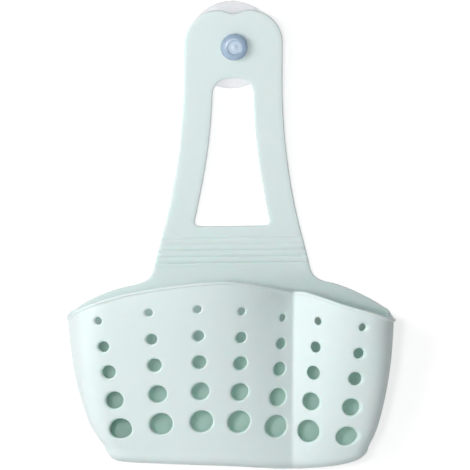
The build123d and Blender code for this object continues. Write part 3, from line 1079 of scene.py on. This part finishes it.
def cup_profile():
    """The cup's section from the middle of its hollow, over the rim, to the knob's middle."""
    wide, deep, shoulder = CUP_RADIUS, CUP_DEPTH, SHOULDER_RADIUS
    neck, knob, under = NECK_RADIUS, KNOB_RADIUS, KNOB_BACK
    hollow = wide - CUP_FACE_WIDTH
    top = under + KNOB_THICKNESS
    ring_floor = top - KNOB_RING_DEPTH
    curves = (
        (24, (CUP_CROWN, 0.0), (CUP_CROWN, 0.42 * wide), (0.30 * deep, 0.78 * wide), (0.0, hollow)),
        (0, (0.0, hollow), (0.0, hollow + 0.2), (0.0, wide - 0.35)),
        (4, (0.0, wide - 0.3), (0.0, wide), (CUP_LIP, wide)),
        (0, (CUP_LIP, wide), (CUP_EDGE - 0.25, wide - 0.03)),
        (28, (CUP_EDGE, wide - 0.15), (0.55 * deep, 0.86 * wide),
         (0.62 * deep, shoulder + 0.12 * wide), (deep - CUP_EDGE, shoulder)),
        (5, (deep - CUP_EDGE, shoulder), (deep, shoulder - 0.1), (deep, shoulder - CUP_EDGE)),
        (5, (deep, shoulder - CUP_EDGE), (deep, neck), (deep + NECK_FILLET, neck)),
        (0, (deep + NECK_FILLET, neck)),
        (4, (under - KNOB_FILLET, neck), (under, neck), (under, neck + KNOB_FILLET)),
        (6, (under, knob - KNOB_ROUNDING), (under, knob), (under + KNOB_ROUNDING, knob)),
        (14, (under + KNOB_ROUNDING, knob), (under + 0.75 * KNOB_THICKNESS, knob),
         (top, 0.80 * knob), (top, 0.55 * knob)),
        (6, (top, 0.55 * knob), (ring_floor, 0.52 * knob), (ring_floor, 0.42 * knob)),
        (5, (ring_floor, 0.30 * knob), (ring_floor, 0.2 * knob), (top - 0.05, 0.16 * knob)),
        (0, (top, 0.1 * knob), (top, 0.0)),
    )
    profile = []
    for count, *points in curves:
        profile += curve_points(points, count) if count else points
    return profile


def make_cup():
    """The clear suction cup with its neck and mushroom knob, as one turned solid."""
    points, faces, rings = [], [], []
    for depth, radius in cup_profile():
        count = 1 if radius == 0.0 else CUP_SIDES
        rings.append(range(len(points), len(points) + count))
        points += [Vector((x, -depth, z)) for x, z in circle((0.0, 0.0), radius, count)]
    for first, second in zip(rings, rings[1:]):
        for i in range(CUP_SIDES):
            j = (i + 1) % CUP_SIDES
            corners = [first[i % len(first)], first[j % len(first)]]
            corners += [second[j % len(second)], second[i % len(second)]]
            faces.append(tuple(dict.fromkeys(corners)))
    return mesh_object("clear_suction_cup", points, faces)


# Looks of the soft moulding: linear colours of the lit outside and of the painted shade deep inside,
# which is greener for the light bounced in the hollow and passed through the walls, and a slight cloudiness
SOFT_OUTSIDE = (0.775, 0.865, 0.86, 1.0)
PAINTED_INSIDE_SHADE = (0.69, 0.885, 0.82, 1.0)
SOFT_CLOUDS = (0.97, 0.985, 0.985, 1.0)
SOFT_SHEEN = {"Roughness": 0.46, "IOR": 1.45, "Specular IOR Level": 0.35, "Subsurface Weight": 0.5,
              "Subsurface Radius": (0.6, 1.0, 0.85), "Subsurface Scale": 0.0015}
CLOUD_SCALE = 22.0
GRAIN_SCALE = 2600.0
GRAIN_HEIGHT = 0.0001
GRAIN_STRENGTH = 0.10

# Clear plastic: nearly colourless where it is thin, and bluer and hazier in the thick knob
DISC_COLOUR = (0.97, 0.98, 1.0, 1.0)
KNOB_COLOUR = (0.57, 0.72, 0.89, 1.0)
CLEAR_IOR = 1.45
DISC_CLEARNESS = 0.85
KNOB_CLEARNESS = 0.5
LEAST_HAZE = 0.12
MOST_HAZE = 0.28
HAZE_SCALE = 160.0

# Floor and wall: their colours, and how brightly they glow to the camera
FLOOR_COLOUR = (0.85, 0.85, 0.85, 1.0)
FLOOR_GLOW = 0.50
WALL_COLOUR = (0.60, 0.60, 0.60, 1.0)
WALL_GLOW = 0.65


def new_material(name, values):
    """A material with the shader's own sockets set to these values."""
    material = bpy.data.materials.new(name)
    material.use_nodes = True
    nodes = material.node_tree.nodes
    shader = nodes["Principled BSDF"]
    for socket, value in values.items():
        shader.inputs[socket].default_value = value
    return material, nodes, shader


def new_node(nodes, kind, values=None, **settings):
    """A node with its settings, and its own sockets set to these values."""
    node = nodes.new(kind)
    for setting, value in settings.items():
        setattr(node, setting, value)
    for socket, value in (values or {}).items():
        node.inputs[socket].default_value = value
    return node


def wire(start, output, end, socket):
    """Links a node's output to another node's socket."""
    start.id_data.links.new(start.outputs[output], end.inputs[socket])


def soft_material():
    """Pale mint soft moulding, with painted greener shade deep inside, and a fine matt grain."""
    material, nodes, shader = new_material("soft_mint", SOFT_SHEEN)
    coords = nodes.new("ShaderNodeTexCoord")
    # The depth attribute mixes in the painted inside shade
    depth = new_node(nodes, "ShaderNodeAttribute", attribute_name="depth")
    tint = new_node(nodes, "ShaderNodeMix", {6: SOFT_OUTSIDE, 7: PAINTED_INSIDE_SHADE}, data_type="RGBA")
    clouds = new_node(nodes, "ShaderNodeTexNoise", {"Scale": CLOUD_SCALE, "Detail": 3.0})
    varied = new_node(nodes, "ShaderNodeMix", {7: SOFT_CLOUDS}, data_type="RGBA", blend_type="MULTIPLY")
    grain = new_node(nodes, "ShaderNodeTexNoise", {"Scale": GRAIN_SCALE, "Detail": 2.0})
    bump = new_node(nodes, "ShaderNodeBump", {"Strength": GRAIN_STRENGTH, "Distance": GRAIN_HEIGHT})
    wire(coords, "Object", clouds, "Vector")
    wire(coords, "Object", grain, "Vector")
    wire(depth, "Fac", tint, 0)
    wire(tint, 2, varied, 6)
    wire(clouds, "Fac", varied, 0)
    wire(varied, 2, shader, "Base Color")
    wire(grain, "Fac", bump, "Height")
    wire(bump, "Normal", shader, "Normal")
    return material


def clear_material():
    """Clear soft plastic with a faint blue tint and slight moulding haze."""
    material, nodes, shader = new_material("clear_blue_plastic", {"IOR": CLEAR_IOR})
    coords = nodes.new("ShaderNodeTexCoord")
    sides = nodes.new("ShaderNodeSeparateXYZ")
    ends = {"From Min": -CUP_DEPTH * MM, "From Max": -KNOB_BACK * MM}
    thick = new_node(nodes, "ShaderNodeMapRange", ends)
    tint = new_node(nodes, "ShaderNodeMix", {6: DISC_COLOUR, 7: KNOB_COLOUR}, data_type="RGBA")
    clear = new_node(nodes, "ShaderNodeMapRange", {"To Min": DISC_CLEARNESS, "To Max": KNOB_CLEARNESS})
    haze = new_node(nodes, "ShaderNodeTexNoise", {"Scale": HAZE_SCALE, "Detail": 2.0})
    spread = new_node(nodes, "ShaderNodeMapRange", {"To Min": LEAST_HAZE, "To Max": MOST_HAZE})
    wire(coords, "Object", sides, "Vector")
    wire(sides, "Y", thick, "Value")
    wire(thick, "Result", tint, 0)
    wire(thick, "Result", clear, "Value")
    wire(clear, "Result", shader, "Transmission Weight")
    wire(tint, 2, shader, "Base Color")
    wire(coords, "Object", haze, "Vector")
    wire(haze, "Fac", spread, "Value")
    wire(spread, "Result", shader, "Roughness")
    return material


def seen_white(name, colour, glow):
    """A plain pale surface that reads as white to the camera but keeps the object's shadow."""
    plain = {"Base Color": colour, "Roughness": 0.9, "Specular IOR Level": 0.0}
    material, nodes, shader = new_material(name, plain)
    path = nodes.new("ShaderNodeLightPath")
    seen = new_node(nodes, "ShaderNodeMath", operation="MAXIMUM")
    shiny = new_node(nodes, "ShaderNodeMath", operation="MAXIMUM")
    strength = new_node(nodes, "ShaderNodeMath", {1: glow}, operation="MULTIPLY")
    emission = nodes.new("ShaderNodeEmission")
    add = nodes.new("ShaderNodeAddShader")
    wire(path, "Is Camera Ray", seen, 0)
    wire(path, "Is Glossy Ray", seen, 1)
    wire(seen, 0, shiny, 0)
    wire(path, "Is Transmission Ray", shiny, 1)
    wire(shiny, 0, strength, 0)
    wire(strength, 0, emission, "Strength")
    wire(shader, 0, add, 0)
    wire(emission, 0, add, 1)
    wire(add, 0, nodes["Material Output"], "Surface")
    return material


def clear_from_behind(material):
    """Lets a backdrop be looked through from behind."""
    nodes = material.node_tree.nodes
    output = nodes["Material Output"]
    front_side = output.inputs["Surface"].links[0].from_node
    geometry = nodes.new("ShaderNodeNewGeometry")
    clear = nodes.new("ShaderNodeBsdfTransparent")
    choose = nodes.new("ShaderNodeMixShader")
    wire(geometry, "Backfacing", choose, 0)
    wire(front_side, 0, choose, 1)
    wire(clear, 0, choose, 2)
    wire(choose, 0, output, "Surface")


# Camera at the photograph's viewing angle in degrees, far away like a long lens
VIEW_YAW = 6.0
VIEW_PITCH = 7.3
VIEW_TARGET = Vector((0.22, -15.0, -96.28)) * MM
PIXELS_PER_MM = 1.957
VIEW_DISTANCE = 5.0
IMAGE_PIXELS = 470
SENSOR = 36.0
FAR_CLIP = 50.0

# Stage, in metres: the wall stands a hair behind the cup's sealing face
STAGE_HALF = 1.2
STAGE_BACK = 0.0004
STAGE_FRONT = -1.2
STAGE_FLOOR = -0.262
STAGE_TOP = 0.9


def direction(azimuth, elevation):
    """A direction away from the object in degrees; azimuth 0 is in front, positive to the right."""
    a, e = math.radians(azimuth), math.radians(elevation)
    return Vector((math.sin(a) * math.cos(e), -math.cos(a) * math.cos(e), math.sin(e)))


def make_camera():
    """The camera, which looks at the middle of the photograph's frame."""
    data = bpy.data.cameras.new("camera")
    data.sensor_width = SENSOR
    data.lens = PIXELS_PER_MM * VIEW_DISTANCE / MM / IMAGE_PIXELS * SENSOR
    data.clip_end = FAR_CLIP
    camera = bpy.data.objects.new("camera", data)
    bpy.context.scene.collection.objects.link(camera)
    toward = direction(-VIEW_YAW, VIEW_PITCH)
    camera.location = VIEW_TARGET + toward * VIEW_DISTANCE
    camera.rotation_euler = (-toward).to_track_quat("-Z", "Y").to_euler()
    bpy.context.scene.camera = camera


def area_light(name, azimuth, elevation, distance, size, power):
    """A soft square lamp that looks at the object."""
    data = bpy.data.lights.new(name, "AREA")
    data.shape = "SQUARE"
    data.size = size
    data.energy = power
    lamp = bpy.data.objects.new(name, data)
    away = direction(azimuth, elevation)
    lamp.location = VIEW_TARGET + away * distance
    lamp.rotation_euler = away.to_track_quat("Z", "Y").to_euler()
    lamp.visible_camera = False
    bpy.context.scene.collection.objects.link(lamp)
    return lamp


def stage_plane(name, corners, material):
    """A flat face of the stage through four corners in metres."""
    plane = mesh_object(name, [Vector(corner) / MM for corner in corners], [(0, 1, 2, 3)])
    plane.data.materials.append(material)
    return plane


def make_stage():
    """The floor below the caddy and the kitchen wall behind it."""
    left, right, back, front = -STAGE_HALF, STAGE_HALF, STAGE_BACK, STAGE_FRONT
    floor_corners = [(left, back, STAGE_FLOOR), (left, front, STAGE_FLOOR),
                     (right, front, STAGE_FLOOR), (right, back, STAGE_FLOOR)]
    wall_corners = [(left, back, STAGE_FLOOR), (right, back, STAGE_FLOOR),
                    (right, back, STAGE_TOP), (left, back, STAGE_TOP)]
    floor = stage_plane("stage_floor", floor_corners, seen_white("floor_white", FLOOR_COLOUR, FLOOR_GLOW))
    wall_white = seen_white("wall_white", WALL_COLOUR, WALL_GLOW)
    clear_from_behind(wall_white)
    wall = stage_plane("stage_wall", wall_corners, wall_white)


# Studio light: a world that is brighter on the left, two soft lamps, and one for the back. Each
# lamp is (azimuth, elevation, distance, size, power) in degrees, metres and watts.
WORLD_LEFT = 0.36
WORLD_RIGHT = 0.09
KEY = (-47.0, 10.0, 1.4, 0.7, 10.1)
FILL = (-13.0, 7.0, 1.4, 0.15, 4.6)
BACK = (160.0, 6.0, 1.4, 0.7, 3.6)


def make_world():
    """The world's light, which the camera sees as white."""
    world = bpy.data.worlds.new("studio")
    bpy.context.scene.world = world
    world.use_nodes = True
    nodes = world.node_tree.nodes
    background = nodes["Background"]
    background.inputs["Color"].default_value = (1.0, 1.0, 1.0, 1.0)
    path = nodes.new("ShaderNodeLightPath")
    coords = nodes.new("ShaderNodeTexCoord")
    sides = nodes.new("ShaderNodeSeparateXYZ")
    across = {"From Min": -1.0, "From Max": 1.0, "To Min": WORLD_LEFT, "To Max": WORLD_RIGHT}
    studio = new_node(nodes, "ShaderNodeMapRange", across)
    brightness = new_node(nodes, "ShaderNodeMix", {"B": 1.0})
    wire(coords, "Generated", sides, "Vector")
    wire(sides, "X", studio, "Value")
    wire(path, "Is Camera Ray", brightness, "Factor")
    wire(studio, "Result", brightness, "A")
    wire(brightness, "Result", background, "Strength")


def light_back(piece):
    """A light behind the wall that only this piece takes and shades, so its back isn't black."""
    lit = bpy.data.collections.new("lit_from_behind")
    lit.objects.link(piece)
    light = area_light("back", *BACK)
    light.visible_transmission = False
    light.visible_glossy = False
    light.light_linking.receiver_collection = lit
    light.light_linking.blocker_collection = lit


make_camera()
make_world()
make_stage()
area_light("key", *KEY)
area_light("fill", *FILL)
bpy.context.scene.view_settings.view_transform = "Standard"

caddy = make_caddy()
caddy.data.materials.append(soft_material())
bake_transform(caddy)
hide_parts("strap_handle", "flex_band", "basket_back_wall", "basket_front_wall", "basket_floor")

cup = make_cup()
cup.data.materials.append(clear_material())
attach(cup, "cup")
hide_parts("suction_cup")

light_back(caddy)
